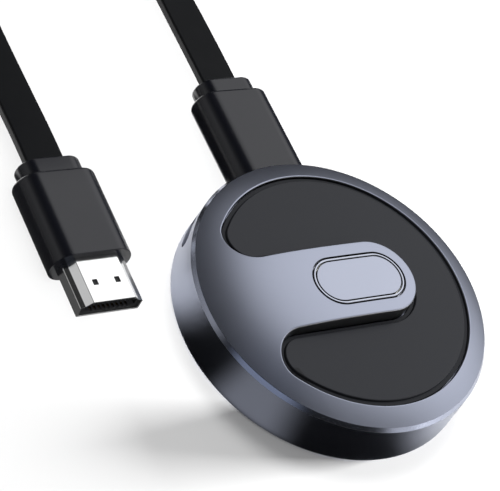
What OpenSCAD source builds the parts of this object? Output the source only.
// HDMI display dongle: a crowned disc on a short flat cable with an HDMI plug.
// Millimetres, +Z up. The origin is the centre of the disc's base, on the table.
// The cable leaves the disc along +Y, turns round, and ends in the plug at -X.

/* [Disc] */
// Outer radius of the side wall at its foot
base_r = 33.2; // [31:0.1:36]
// Draft of the side wall, from its foot up to the chamfer
wall_draft = 0.4; // [0.2:0.05:0.7]
// Height of the side wall's top edge
wall_top_z = 10.2; // [9.8:0.1:11]
// Width of the chamfer between the wall and the ring
chamfer_w = 0.6; // [0.4:0.1:0.9]
// Height of the chamfer
chamfer_h = 0.9; // [0.6:0.1:1.2]
// Rise of the crown over the ring's outer edge
crown_rise = 4.4; // [4:0.1:5.2]
// Power of the crown's curve, flatter in the middle when higher
crown_power = 3; // [2.6:0.1:3.4]
// Thickness of the side wall
wall_t = 1.4; // [1.2:0.1:1.6]
// Thickness of the tongue's top
top_t = 1.3; // [1.1:0.1:1.5]
// Height of the shell's lower edge over the table
shell_lift = 0.4; // [0.2:0.1:0.6]

/* [Recess and tongue] */
// Width of the ring round the recess
ring_w = 4.25; // [3.6:0.05:5]
// Half of the tongue's width
tongue_half = 8.6; // [8.3:0.1:9.2]
// Distance from the centre of the tongue's round end to the recess's far wall
tongue_reach = 21.15; // [19:0.05:21.5]
// Radius of the lobes at the tongue's root
lobe_r = 5.75; // [4:0.25:6.5]
// Height of the inlay panel's raised field over the ring's outer edge
panel_rise = 0.6; // [0.3:0.1:0.9]
// Full thickness of the inlay panel
panel_t = 1.1; // [0.9:0.1:1.2]
// Width of the panel's lower border
border_w = 1.4; // [0.8:0.1:2.4]
// Drop of the border below the raised field
border_drop = 0.35; // [0.2:0.05:0.5]
// Gap between the panel and the recess wall
panel_gap = 0.1; // [0.05:0.05:0.3]
// Thickness of the floor under the panel
floor_t = 1; // [0.8:0.1:1.2]

/* [Button] */
// Radius of the button's hole in the tongue
button_hole_r = 5.6; // [5.4:0.1:5.8]
// Distance between the centres of the hole's round ends
button_len = 10.7; // [8:0.1:13]
// Shift of the hole's right end past the tongue's
button_shift = 0.6; // [0:0.1:0.8]
// Width of the bezel ring
bezel_w = 0.6; // [0.4:0.05:0.8]
// Gap between the cap and the bezel
cap_gap = 0.14; // [0.1:0.01:0.2]
// Gap between the bezel and the shell
bezel_gap = 0.05; // [0.03:0.01:0.1]
// Travel of the button
button_travel = 0.4; // [0.2:0.05:0.5]

/* [Circuit board] */
// Gap between the board and the side wall
board_gap = 2.4; // [2:0.1:3]
// Thickness of the board
board_t = 1; // [0.8:0.1:1.2]
// Height of the screw bosses under the ceiling
boss_h = 1.2; // [1:0.1:1.4]
// Radius of the screw bosses
boss_r = 2.2; // [1.8:0.1:2.6]
// Distance of the screws from the board's edge
screw_inset = 4.5; // [3:0.5:5]
// Radius of the screws' shanks
shank_r = 0.8; // [0.6:0.05:1]

/* [Side port] */
// Direction of the side port, from +X
port_angle = 137; // [132:1:142]
// Outer width of the receptacle
port_w = 8.9; // [8:0.1:9.4]
// Outer height of the receptacle
port_h = 3.2; // [2.8:0.1:3.4]
// Length of the receptacle
port_len = 7.4; // [6:0.1:8]

/* [Cable] */
// Width of the flat cable
cable_w = 8.6; // [7.4:0.1:9.4]
// Thickness of the flat cable
cable_t = 2.1; // [1.6:0.1:2.4]
// Width of the moulded blocks at both ends of the cable
block_w = 18.1; // [17:0.1:19]
// Thickness of the moulded blocks
block_h = 8.8; // [8.4:0.1:9]
// Width of the narrower collars
collar_w = 14.2; // [12:0.1:15]
// Thickness of the collars
collar_h = 7.2; // [6:0.1:7.6]
// Rounding of the blocks' rear edges
block_round = 0.7; // [0.4:0.1:1]
// Rounding of the collars' rear edges
collar_round = 0.5; // [0.3:0.1:0.8]
// Drop of the block's top below the side wall's top edge
block_drop = 0.1; // [0.1:0.05:0.4]

/* [Plug] */
// Distance of the plug's centre line from the disc's, towards -X
plug_x = -48.5; // [-52:0.5:-46]
// Width of the plug's metal shell
plug_w = 13.9; // [13.5:0.1:14.3]
// Height of the plug's metal shell
plug_h = 4.45; // [4.3:0.05:4.6]
// Length of metal shell that stands out of the overmould
plug_out = 10.4; // [9:0.1:12]
// Length of the plug's overmould block
plug_block_len = 20.4; // [18:0.1:22]

/* [Hidden] */

// How far every cut runs past the face it opens
over = 1;
$fn = 96;

// Radii and heights of the disc, from its foot up
wall_top_r = base_r - wall_draft;
wall_in_r = wall_top_r - wall_t;
ring_r = wall_top_r - chamfer_w;
ring_z = wall_top_z + chamfer_h;
crown_z = ring_z + crown_rise;
recess_r = ring_r - ring_w;

// Crown: height of the top surface at a distance from the centre
crown_steps = 18;
function crown(r) = crown_z - (crown_z - ring_z) * pow(r / ring_r, crown_power);
function crown_line(drop, end_r) =
    [for (i = [0:crown_steps]) let (r = end_r * i / crown_steps) [r, crown(r) - drop]];

// A solid that ends in the crown, lowered by drop, from low_z up to it
module crowned(drop, end_r, low_z) {
    rotate_extrude()
        polygon(concat([[0, low_z]], crown_line(drop, end_r), [[end_r, low_z]]));
}

// A stadium between two centres on the X axis
module stadium(r, left_x, right_x) {
    translate([left_x, -r]) square([right_x - left_x, 2 * r]);
    translate([left_x, 0]) circle(r = r);
    translate([right_x, 0]) circle(r = r);
}

// A block of stadium section that runs along +Y from the origin
module pill_block(w, h, len) {
    rotate([-90, 0, 0])
        linear_extrude(len) stadium(h / 2, -(w - h) / 2, (w - h) / 2);
}

// A pill block whose far edge is rounded: two revolved ends and an extruded middle
edge_steps = 4;
module soft_block(w, h, len, edge_r) {
    half = (w - h) / 2;
    edge = [for (i = [0:edge_steps]) let (a = 90 * i / edge_steps)
        [h / 2 - edge_r * (1 - cos(a)), len - edge_r * (1 - sin(a))]];
    for (x = [-half, half]) translate([x, 0, 0]) rotate([-90, 0, 0])
        rotate_extrude() polygon(concat([[0, 0], [h / 2, 0]], edge, [[0, len]]));
    rotate([90, 0, 90]) linear_extrude(2 * half, center = true) polygon(concat(
        [[0, -h / 2], [0, h / 2]],
        [for (p = edge) [p.y, p.x]],
        [for (i = [edge_steps:-1:0]) [edge[i].y, -edge[i].x]]
    ));
}

// A flat block on a centre, from low_z upwards
module chip(x, y, low_z, size) {
    translate([x - size[0] / 2, y - size[1] / 2, low_z]) cube(size);
}

// Heights of the stack between the cover and the crown
panel_z = ring_z + panel_rise;
recess_z = panel_z - panel_t;
ceiling_z = recess_z - floor_t;
board_top_z = ceiling_z - boss_h;
board_z = board_top_z - board_t;
board_r = wall_in_r - board_gap;
screw_r = board_r - screw_inset;

// Tongue's end, and the lobe centres, tangent to the recess circle and to the tongue's side
tongue_end_x = recess_r - tongue_reach;
lobe_y = tongue_half + lobe_r;
lobe_x = -sqrt(pow(recess_r - lobe_r, 2) - pow(lobe_y, 2));
lobe_reach = 2 * ring_r / (recess_r - lobe_r);

// Tongue, widened by grow and carried out past the ring at its root
module tongue_outline(grow) {
    translate([-ring_r, -tongue_half - grow])
        square([ring_r + tongue_end_x, 2 * (tongue_half + grow)]);
    translate([tongue_end_x, 0]) circle(r = tongue_half + grow);
}

// Material between a lobe, the tongue and the ring
module lobe_corner(grow) {
    difference() {
        polygon([
            [lobe_x, 0], [lobe_x, lobe_y],
            [lobe_x * lobe_reach, lobe_y * lobe_reach],
            [-2 * ring_r, lobe_y * lobe_reach], [-2 * ring_r, 0]
        ]);
        translate([lobe_x, lobe_y]) circle(r = lobe_r - grow);
    }
}

// The recess seen from above, drawn in by shrink
module recess_outline(shrink) {
    difference() {
        circle(r = recess_r - shrink);
        tongue_outline(shrink);
        lobe_corner(shrink);
        mirror([0, 1]) lobe_corner(shrink);
    }
}

// Side wall and crown as one revolved solid
module disc_form(grow) {
    rotate_extrude()
        polygon(concat(
            [[0, shell_lift], [base_r + grow, shell_lift],
             [wall_top_r + grow, wall_top_z], [ring_r, ring_z]],
            [for (i = [crown_steps - 1:-1:0])
                let (r = ring_r * i / crown_steps) [r, crown(r)]]
        ));
}

// Cover and its lap with the shell
cover_t = 1.6;
cover_flange_t = 0.9;
cover_gap = 0.15;
lip_w = 1.1;
lap_gap = 0.1;
lap_r = base_r - lip_w;
lap_z = cover_flange_t + lap_gap;
hook_angles = [25, 175, 235, 305];
hook_w = 5;
hook_t = 0.8;
hook_inset = 0.1;
hook_top_z = 3.9;
hook_bead = 0.3;
bead_flat_h = 0.3;
groove_low_z = 2.7;
groove_h = 0.9;
screw_angles = [35, 215, 310];
pilot_depth = 1.7;
boss_root = 0.25;

// Switch on the board, and the button and the bezel under the crown
switch_w = 6;
switch_h = 3;
actuator_r = 1.7;
actuator_in = 0.7;
actuator_gap = 0.1;
carrier_boss_r = 2.2;
carrier_boss_h = 0.45;
carrier_flange_t = 0.5;
flange_reach = 0.45;
bezel_flange_w = 0.8;
bezel_flange_t = 0.6;
bezel_flange_gap = 0.05;
stop_gap = 0.1;
cap_set_down = 0.05;
button_right_x = tongue_end_x + button_shift;
button_left_x = button_right_x - button_len;
button_mid_x = (button_left_x + button_right_x) / 2;
room_reach = 6.8;
room_left_x = button_left_x - button_hole_r - room_reach;
bezel_r = button_hole_r - bezel_gap;
cap_r = bezel_r - bezel_w - cap_gap;
flange_end_r = max(-button_left_x, button_right_x) + bezel_r + bezel_flange_w;
bezel_z = crown(flange_end_r) - top_t - bezel_flange_gap - bezel_flange_t;
cap_z = bezel_z - stop_gap;
carrier_z = cap_z - carrier_flange_t;
actuator_top_z = carrier_z - carrier_boss_h;
switch_top_z = board_top_z + switch_h;
actuator_out = actuator_top_z - switch_top_z;

// Parts under the board: places and sizes
screw_head_r = 1.6;
screw_head_h = 1;
screw_gap = 0.05;
screw_bite = 1.4;
main_chip_size = [14, 14, 1];
main_chip_x = 0;
main_chip_y = -2;
memory_gap = 0.3;
memory_size = [9, 13, 0.9];
memory_x = main_chip_x - main_chip_size[0] / 2 - memory_gap - memory_size[0] / 2;
memory_y = -3;
flash_gap = 0.55;
flash_size = [13, 11.5, 0.8];
flash_x = 3;
flash_y = main_chip_y - main_chip_size[1] / 2 - flash_gap - flash_size[1] / 2;
pad_size = [13, 13, 0.8];
antenna_size = [2, 8, 0.9];
antenna_inset = 2.4;
antenna_x = board_r - antenna_inset;
antenna_y = 3;
radio_size = [12, 12, 0.8];
radio_step = 7.5;
radio_x = antenna_x - radio_step;
radio_y = 2;
shield_size = [11.4, 11.4, 1.6];
shield_wall_t = 0.2;
spreader_t = 1.2;
spreader_d = 18;
spreader_y = -2.5;
spreader_left_x = -16;
spreader_gap = 1.2;
spreader_right_x = radio_x - shield_size[0] / 2 - spreader_gap;
spreader_w = spreader_right_x - spreader_left_x;
spreader_x = (spreader_left_x + spreader_right_x) / 2;
spreader_post_r = 1.4;
spreader_post_inset = 2;
spreader_post_x = spreader_w / 2 - spreader_post_inset;
spreader_post_y = spreader_d / 2 - spreader_post_inset;
pad_z = board_z - main_chip_size[2] - pad_size[2];
spreader_z = pad_z - spreader_t;
crystal_size = [3.2, 2.5, 0.8];
crystal_x = 1;
crystal_y = 9.5;
inductor_size = [4, 4, 2];
inductor_x = -12;
inductor_y = 9;
capacitor_size = [1.6, 0.8, 0.8];
capacitor_pitch = 2.6;
capacitor_step = 1.7;
capacitor_rows = 2;
capacitor_columns = 5;
capacitor_gap = 0.7;
capacitor_x = memory_x - memory_size[0] / 2 - capacitor_gap - capacitor_size[0] / 2
    - (capacitor_rows - 1) * capacitor_pitch;
capacitor_y = -1.5;

// Port: places along its own direction
port_wall_t = 0.3;
port_gap = 0.15;
port_back_t = 0.4;
port_tongue_w = 6.7;
port_tongue_t = 0.7;
port_tongue_set_back = 0.6;
port_contact_w = 0.25;
port_contact_t = 0.08;
port_contact_pitch = 0.5;
port_contacts_each = 12;
port_z = board_z - port_h / 2;
port_set_back = 0.42;
port_front_r = wall_top_r - port_set_back;
port_back_r = port_front_r - port_len;

// Gland: the block meets the wall, and its neck and flange hold it from inside
gland_end_y = 53.9;
collar_len = 3.7;
neck_w = 12;
neck_h = 5;
neck_gap = 0.1;
gland_flange_w = 15;
gland_flange_h = 7;
gland_flange_t = 1.4;
gland_gap = 0.05;
gland_z = wall_top_z - block_drop - block_h / 2;
gland_root_y = sqrt(pow(wall_in_r - gland_gap, 2) - pow(gland_flange_w / 2, 2)) - gland_flange_t;
core_count = 8;
core_r = 0.35;
core_pitch = 1.2;
core_len = 5.2;

// Plug: its own origin is under the middle of its mouth, on the table
plug_front_y = 7.6;
plug_low = 1.5;
plug_lift = block_h / 2 - plug_low;
plug_block_y = plug_front_y + plug_out;
plug_block_z = block_h / 2;
plug_end_y = plug_block_y + plug_block_len;
plug_wall_t = 0.3;
plug_tail = 7;
plug_side_h = 2.8;
plug_crease_x = 5.95;
plug_crease_z = 3.2;
plug_top_half = 4.6;
latch_w = 1.15;
latch_len = 1.35;
latch_x = 2.45;
latch_y = 4.5;
mouth_w = 11.2;
mouth_h = 1.5;
mouth_z = 2.1;
mouth_depth = 7.5;
mouth_set_back = 0.35;
contact_pitch = 1;
contact_w = 0.45;
contact_t = 0.2;
contact_set_back = 0.5;
contact_len = 5.5;
contact_gap = 0.05;
groove_depth = 0.4;
plug_gap = 0.05;
upper_contacts = 10;
lower_contacts = 9;
core_block_w = 12.6;
core_block_h = 5.6;
core_block_len = 7;

module top_shell() {
    color("#747a8c") difference() {
        union() {
            hollow_disc();
            for (a = screw_angles) rotate(a) translate([screw_r, 0, board_top_z])
                cylinder(r = boss_r, h = boss_h + boss_root);
        }
        // Pilot holes for the board's screws
        for (a = screw_angles) rotate(a) translate([screw_r, 0, board_top_z - over])
            cylinder(r = shank_r, h = pilot_depth + over);
    }
}

// The shell before its bosses: the disc with its recess, rooms and openings
module hollow_disc() {
    difference() {
        disc_form(0);
        // Recess for the panel
        translate([0, 0, recess_z]) linear_extrude(crown_z) recess_outline(0);
        // Room under the ceiling, down to the lap with the cover
        translate([0, 0, shell_lift - over])
            cylinder(r = wall_in_r, h = ceiling_z - shell_lift + over);
        translate([0, 0, shell_lift - over]) cylinder(r = lap_r, h = lap_z - shell_lift + over);
        translate([0, 0, groove_low_z]) cylinder(r = wall_in_r + hook_bead + cover_gap, h = groove_h);
        // Room inside the tongue
        intersection() {
            translate([0, 0, ceiling_z - over]) linear_extrude(crown_z) tongue_room();
            crowned(top_t, ring_r - wall_t, board_top_z);
        }
        // Hole for the bezel and the button
        translate([0, 0, ceiling_z]) linear_extrude(crown_z)
            stadium(button_hole_r, button_left_x, button_right_x);
        // Slot for the side port
        port_place() translate([0, 0, -port_len]) linear_extrude(port_len + wall_t + over)
            stadium(port_h / 2 + port_gap, -(port_w - port_h) / 2, (port_w - port_h) / 2);
        // Opening for the gland's neck
        translate([0, 0, gland_z])
            pill_block(neck_w + 2 * neck_gap, neck_h + 2 * neck_gap, base_r + over);
    }
}

// Inside of the hollow tongue, one wall in from its sides
module tongue_room() {
    room_half = tongue_half - wall_t;
    translate([room_left_x, -room_half])
        square([tongue_end_x - room_left_x, 2 * room_half]);
    translate([tongue_end_x, 0]) circle(r = room_half);
}

module inlay_panel() {
    color("#3c3d40") translate([0, 0, recess_z]) {
        linear_extrude(panel_t - border_drop) recess_outline(panel_gap);
        linear_extrude(panel_t) recess_outline(border_w);
    }
}

module button_bezel() {
    color("#9aa0b3") {
        intersection() {
            translate([0, 0, bezel_z]) linear_extrude(crown_z) difference() {
                stadium(bezel_r, button_left_x, button_right_x);
                stadium(bezel_r - bezel_w, button_left_x, button_right_x);
            }
            crowned(0, ring_r, ceiling_z);
        }
        translate([0, 0, bezel_z]) linear_extrude(bezel_flange_t) difference() {
            stadium(bezel_r + bezel_flange_w, button_left_x, button_right_x);
            stadium(bezel_r - bezel_w, button_left_x, button_right_x);
        }
    }
}

module button_cap() {
    color("#a4aabd") intersection() {
        translate([0, 0, cap_z]) linear_extrude(crown_z)
            stadium(cap_r, button_left_x, button_right_x);
        crowned(cap_set_down, ring_r, ceiling_z);
    }
}

module button_carrier() {
    color("#d8d8d4") {
        translate([0, 0, carrier_z]) linear_extrude(carrier_flange_t)
            stadium(cap_r + flange_reach, button_left_x, button_right_x);
        translate([button_mid_x, 0, actuator_top_z]) cylinder(r = carrier_boss_r, h = carrier_boss_h);
    }
}

module switch_actuator() {
    color("#2a2a2c") translate([button_mid_x, 0, switch_top_z - actuator_in])
        cylinder(r = actuator_r, h = actuator_in + actuator_out);
}

module switch_body() {
    color("#b9bcc0") difference() {
        chip(button_mid_x, 0, board_top_z, [switch_w, switch_w, switch_h]);
        translate([button_mid_x, 0, switch_top_z - actuator_in - button_travel - actuator_gap])
            cylinder(r = actuator_r + actuator_gap, h = switch_h);
    }
}

module base_cover() {
    color("#5e6375") {
        cylinder(r = lap_r - cover_gap, h = cover_flange_t);
        cylinder(r = wall_in_r - cover_gap, h = cover_t);
        // Snap hooks round the edge
        for (a = hook_angles) rotate(a) snap_hook();
        // Posts under the heat spreader
        for (x = [-1, 1], y = [-1, 1])
            translate([spreader_x + x * spreader_post_x, spreader_y + y * spreader_post_y, cover_t / 2])
                cylinder(r = spreader_post_r, h = spreader_z - cover_t / 2);
    }
}

// A snap hook: a slice of a ring that rises from the cover, with a bead near its top
module snap_hook() {
    face_r = wall_in_r - cover_gap - hook_inset;
    bead_z = groove_low_z + cover_gap;
    intersection() {
        rotate_extrude() polygon([
            [face_r - hook_t, cover_t / 2], [face_r, cover_t / 2], [face_r, bead_z],
            [wall_in_r + hook_bead, bead_z], [wall_in_r + hook_bead, bead_z + bead_flat_h],
            [face_r, hook_top_z], [face_r - hook_t, hook_top_z]
        ]);
        translate([0, -hook_w / 2, 0]) cube([2 * base_r, hook_w, hook_top_z + over]);
    }
}

module circuit_board() {
    color("#1f5c3a") difference() {
        translate([0, 0, board_z]) cylinder(r = board_r, h = board_t);
        // Notch for the gland's flange
        translate([-gland_flange_w / 2 - over, gland_root_y - over, board_z - over])
            cube([gland_flange_w + 2 * over, base_r, board_t + 2 * over]);
        for (a = screw_angles) rotate(a) translate([screw_r, 0, board_z - over])
            cylinder(r = shank_r + cover_gap, h = board_t + 2 * over);
    }
}

module board_screws() {
    color("#c8c8cc") for (a = screw_angles) rotate(a) translate([screw_r, 0, 0]) {
        translate([0, 0, board_z - screw_head_h]) cylinder(r = screw_head_r, h = screw_head_h);
        translate([0, 0, board_z - screw_head_h / 2])
            cylinder(r = shank_r - screw_gap, h = screw_head_h / 2 + board_t + screw_bite);
    }
}

module main_chip() {
    color("#202022") chip(main_chip_x, main_chip_y, board_z - main_chip_size[2], main_chip_size);
}

module memory_chip() {
    color("#252528") chip(memory_x, memory_y, board_z - memory_size[2], memory_size);
}

module flash_chip() {
    color("#2a2a2e") chip(flash_x, flash_y, board_z - flash_size[2], flash_size);
}

module thermal_pad() {
    color("#8fa3b8") chip(main_chip_x, main_chip_y, pad_z, pad_size);
}

module heat_spreader() {
    color("#c9ccd0") chip(spreader_x, spreader_y, spreader_z, [spreader_w, spreader_d, spreader_t]);
}

module radio_module() {
    color("#24427a") chip(radio_x, radio_y, board_z - radio_size[2], radio_size);
}

module radio_shield() {
    shield_z = board_z - radio_size[2] - shield_size[2];
    color("#cfd1d4") difference() {
        chip(radio_x, radio_y, shield_z, shield_size);
        chip(radio_x, radio_y, shield_z + shield_wall_t, [
            shield_size[0] - 2 * shield_wall_t,
            shield_size[1] - 2 * shield_wall_t,
            shield_size[2]
        ]);
    }
}

module antenna() {
    color("#e8e4d8") chip(antenna_x, antenna_y, board_z - antenna_size[2], antenna_size);
}

module crystal() {
    color("#d2d2d2") chip(crystal_x, crystal_y, board_z - crystal_size[2], crystal_size);
}

module inductor() {
    color("#4a4a4d") chip(inductor_x, inductor_y, board_z - inductor_size[2], inductor_size);
}

module capacitors() {
    color("#b89b6a") for (i = [0:capacitor_columns - 1], j = [0:capacitor_rows - 1])
        chip(
            capacitor_x + j * capacitor_pitch, capacitor_y + i * capacitor_step,
            board_z - capacitor_size[2], capacitor_size
        );
}

// Turns the port's parts to the port's direction: their X is across, their Z is outward
module port_place() {
    rotate(port_angle) translate([port_front_r, 0, port_z]) rotate([90, 0, 90]) children();
}

module port_shell() {
    half = (port_w - port_h) / 2;
    color("#c4c6ca") port_place() difference() {
        translate([0, 0, -port_len]) linear_extrude(port_len) stadium(port_h / 2, -half, half);
        translate([0, 0, port_back_t - port_len]) linear_extrude(port_len)
            stadium(port_h / 2 - port_wall_t, -half, half);
    }
}

module port_tongue() {
    color("#19191b") port_place()
        translate([-port_tongue_w / 2, -port_tongue_t / 2, port_back_t - port_len])
            cube([port_tongue_w, port_tongue_t, port_len - port_back_t - port_tongue_set_back]);
}

module port_contacts() {
    color("#d9b45b") port_place()
        for (i = [0:port_contacts_each - 1], side = [-1, 1])
            translate([
                (i - (port_contacts_each - 1) / 2) * port_contact_pitch - port_contact_w / 2,
                side * (port_tongue_t + port_contact_t) / 2 - port_contact_t / 2,
                port_back_t - port_len
            ]) cube([port_contact_w, port_contact_t, port_len - port_back_t - 2 * port_tongue_set_back]);
}

module cable_gland() {
    color("#2b2c2e") translate([0, 0, gland_z]) {
        difference() {
            union() {
                translate([0, wall_in_r, 0])
                    soft_block(block_w, block_h, gland_end_y - wall_in_r, block_round);
                translate([0, gland_root_y, 0]) pill_block(neck_w, neck_h, wall_in_r - gland_root_y + over);
                translate([0, gland_end_y - over, 0])
                    soft_block(collar_w, collar_h, collar_len + over, collar_round);
            }
            // Face that meets the wall, outside the neck
            difference() {
                translate([0, 0, -gland_z]) disc_form(gland_gap);
                pill_block(neck_w, neck_h, base_r + over);
            }
        }
        // Flange inside the wall, over the cover
        intersection() {
            translate([0, gland_root_y, 0]) pill_block(gland_flange_w, gland_flange_h, base_r);
            translate([0, 0, cover_t + cover_gap - gland_z])
                cylinder(r = wall_in_r - gland_gap, h = gland_z + gland_flange_h);
        }
    }
}

module cable_cores() {
    color("#c9772e") for (i = [0:core_count - 1])
        translate([(i - (core_count - 1) / 2) * core_pitch, gland_root_y, board_z - core_r])
            rotate([90, 0, 0]) cylinder(r = core_r, h = core_len);
}

// Route of the flat cable from the gland to the plug: x, y, z and the roll of its
// width from level. It rolls onto its edge, turns round on the table and rolls back.
cable_route = [
    [0, 57.6, 5.7, 0], [0, 66, 5.7, 0], [0, 76, 5.6, 0], [0, 86, 5.4, 0],
    [0, 92, 5.2, 22], [0, 98, 4.9, 45], [0, 104, 4.6, 68], [0, 110, 4.4, 90],
    [-0.8, 116.3, 4.4, 90], [-3.2, 122.1, 4.4, 90], [-7.1, 127.1, 4.4, 90],
    [-12.1, 131, 4.4, 90], [-18, 133.4, 4.4, 90], [-24.25, 134.2, 4.4, 90],
    [-30.5, 133.4, 4.4, 90], [-36.4, 131, 4.4, 90], [-41.4, 127.1, 4.4, 90],
    [-45.3, 122.1, 4.4, 90], [-47.7, 116.3, 4.4, 90], [-48.5, 110, 4.4, 90],
    [-48.5, 104, 4.4, 68], [-48.5, 98, 3.9, 45], [-48.5, 92, 3.4, 22],
    [-48.5, 86, 3.3, 0], [-48.5, 78, 3.4, 0], [-48.5, 68, 3.7, 0],
    [-48.5, 58, 4.1, 0], [-48.5, 50, 4.4, 0], [-48.5, 42.1, 4.4, 0]
];
cable_corner_r = 0.5;

// Rounded section of the cable, as points across and through it
cable_section = [
    for (q = [0:3], a = [0, 45, 90]) let (
        sx = q == 0 || q == 3 ? 1 : -1, sy = q < 2 ? 1 : -1, turn = 90 * q + a
    ) [
        sx * (cable_w / 2 - cable_corner_r) + cable_corner_r * cos(turn),
        sy * (cable_t / 2 - cable_corner_r) + cable_corner_r * sin(turn)
    ]
];

function unit(v) = v / norm(v);
function place(i) = [cable_route[i].x, cable_route[i].y, cable_route[i].z];
function heading(i) = unit(place(min(i + 1, len(cable_route) - 1)) - place(max(i - 1, 0)));
function ring(i) = let (
    ahead = heading(i),
    level = unit(cross(ahead, [0, 0, 1])),
    up = cross(level, ahead),
    roll = cable_route[i][3],
    across = cos(roll) * level + sin(roll) * up,
    through = cross(ahead, across)
) [for (p = cable_section) place(i) + p.x * across + p.y * through];

module flat_cable() {
    rings = len(cable_route);
    sides = len(cable_section);
    color("#202123") polyhedron(
        points = [for (i = [0:rings - 1]) each ring(i)],
        faces = concat(
            [[for (k = [0:sides - 1]) k]],
            [for (i = [0:rings - 2], k = [0:sides - 1]) let (n = (k + 1) % sides, b = i * sides)
                each [[b + k, b + sides + k, b + n], [b + n, b + sides + k, b + sides + n]]],
            [[for (k = [sides - 1:-1:0]) (rings - 1) * sides + k]]
        )
    );
}

// Outline of the plug's shell from the front, drawn in by shrink
module plug_outline(shrink) {
    half = plug_w / 2 - shrink;
    crease = plug_crease_x - shrink;
    top = plug_top_half - shrink / 2;
    polygon([
        [-half, shrink], [half, shrink], [half, plug_side_h], [crease, plug_crease_z],
        [top, plug_h - shrink], [-top, plug_h - shrink], [-crease, plug_crease_z],
        [-half, plug_side_h]
    ]);
}

// Carries a shape drawn from the front to the plug, extruded along +Y from a place
module plug_extrude(y, length) {
    translate([plug_x, y, plug_lift]) rotate([90, 0, 0])
        translate([0, 0, -length]) linear_extrude(length) children();
}

module plug_shell() {
    color("#d4d6d9") difference() {
        plug_extrude(plug_front_y, plug_out + plug_tail) difference() {
            plug_outline(0);
            plug_outline(plug_wall_t);
        }
        for (side = [-1, 1])
            translate([
                plug_x + side * latch_x - latch_w / 2, plug_front_y + latch_y - latch_len / 2,
                plug_lift + plug_h - plug_wall_t - over
            ]) cube([latch_w, latch_len, plug_wall_t + 2 * over]);
    }
}

// Grooves or strips for one row of contacts, from the mouth's face inwards
module contact_row(count, low_z, size, y) {
    for (i = [0:count - 1])
        translate([
            plug_x + (i - (count - 1) / 2) * contact_pitch - size[0] / 2, y, plug_lift + low_z
        ]) cube(size);
}

upper_groove_z = mouth_z + mouth_h / 2;
lower_groove_z = mouth_z - mouth_h / 2 - groove_depth;
insulator_y = plug_front_y + mouth_set_back;

module plug_insulator() {
    groove = [contact_w + 2 * contact_gap, contact_len + over, groove_depth + over];
    color("#17171a") difference() {
        plug_extrude(insulator_y, plug_out + plug_tail - mouth_set_back)
            plug_outline(plug_wall_t + plug_gap);
        translate([plug_x - mouth_w / 2, insulator_y - over, plug_lift + mouth_z - mouth_h / 2])
            cube([mouth_w, mouth_depth + over, mouth_h]);
        contact_row(upper_contacts, upper_groove_z - over, groove, insulator_y - over);
        contact_row(lower_contacts, lower_groove_z, groove, insulator_y - over);
    }
}

module plug_contacts_upper() {
    color("#d9b45b") contact_row(
        upper_contacts, upper_groove_z + groove_depth - contact_t,
        [contact_w, contact_len - contact_set_back, contact_t], insulator_y + contact_set_back
    );
}

module plug_contacts_lower() {
    color("#d9b45b") contact_row(
        lower_contacts, lower_groove_z,
        [contact_w, contact_len - contact_set_back, contact_t], insulator_y + contact_set_back
    );
}

module plug_overmould() {
    color("#2b2c2e") difference() {
        translate([plug_x, 0, plug_block_z]) {
            translate([0, plug_block_y, 0]) soft_block(block_w, block_h, plug_block_len, block_round);
            translate([0, plug_end_y - over, 0])
                soft_block(collar_w, collar_h, collar_len + over, collar_round);
        }
        plug_extrude(plug_block_y - over, plug_tail + over) plug_outline(-plug_gap);
        translate([
            plug_x - core_block_w / 2 - plug_gap, plug_block_y + plug_tail - over,
            plug_lift + (plug_h - core_block_h) / 2 - plug_gap
        ]) cube([
            core_block_w + 2 * plug_gap, core_block_len + over + plug_gap,
            core_block_h + 2 * plug_gap
        ]);
    }
}

// Inner moulding behind the shell, round the contacts' tails
module plug_core() {
    color("#e6e2d6") translate([
        plug_x - core_block_w / 2, plug_block_y + plug_tail, plug_lift + (plug_h - core_block_h) / 2
    ]) cube([core_block_w, core_block_len, core_block_h]);
}

top_shell();
inlay_panel();
button_bezel();
button_cap();
button_carrier();
switch_actuator();
switch_body();
base_cover();
circuit_board();
board_screws();
main_chip();
memory_chip();
flash_chip();
thermal_pad();
heat_spreader();
radio_module();
radio_shield();
antenna();
crystal();
inductor();
capacitors();
port_shell();
port_tongue();
port_contacts();
cable_gland();
cable_cores();
flat_cable();
plug_overmould();
plug_core();
plug_shell();
plug_insulator();
plug_contacts_upper();
plug_contacts_lower();
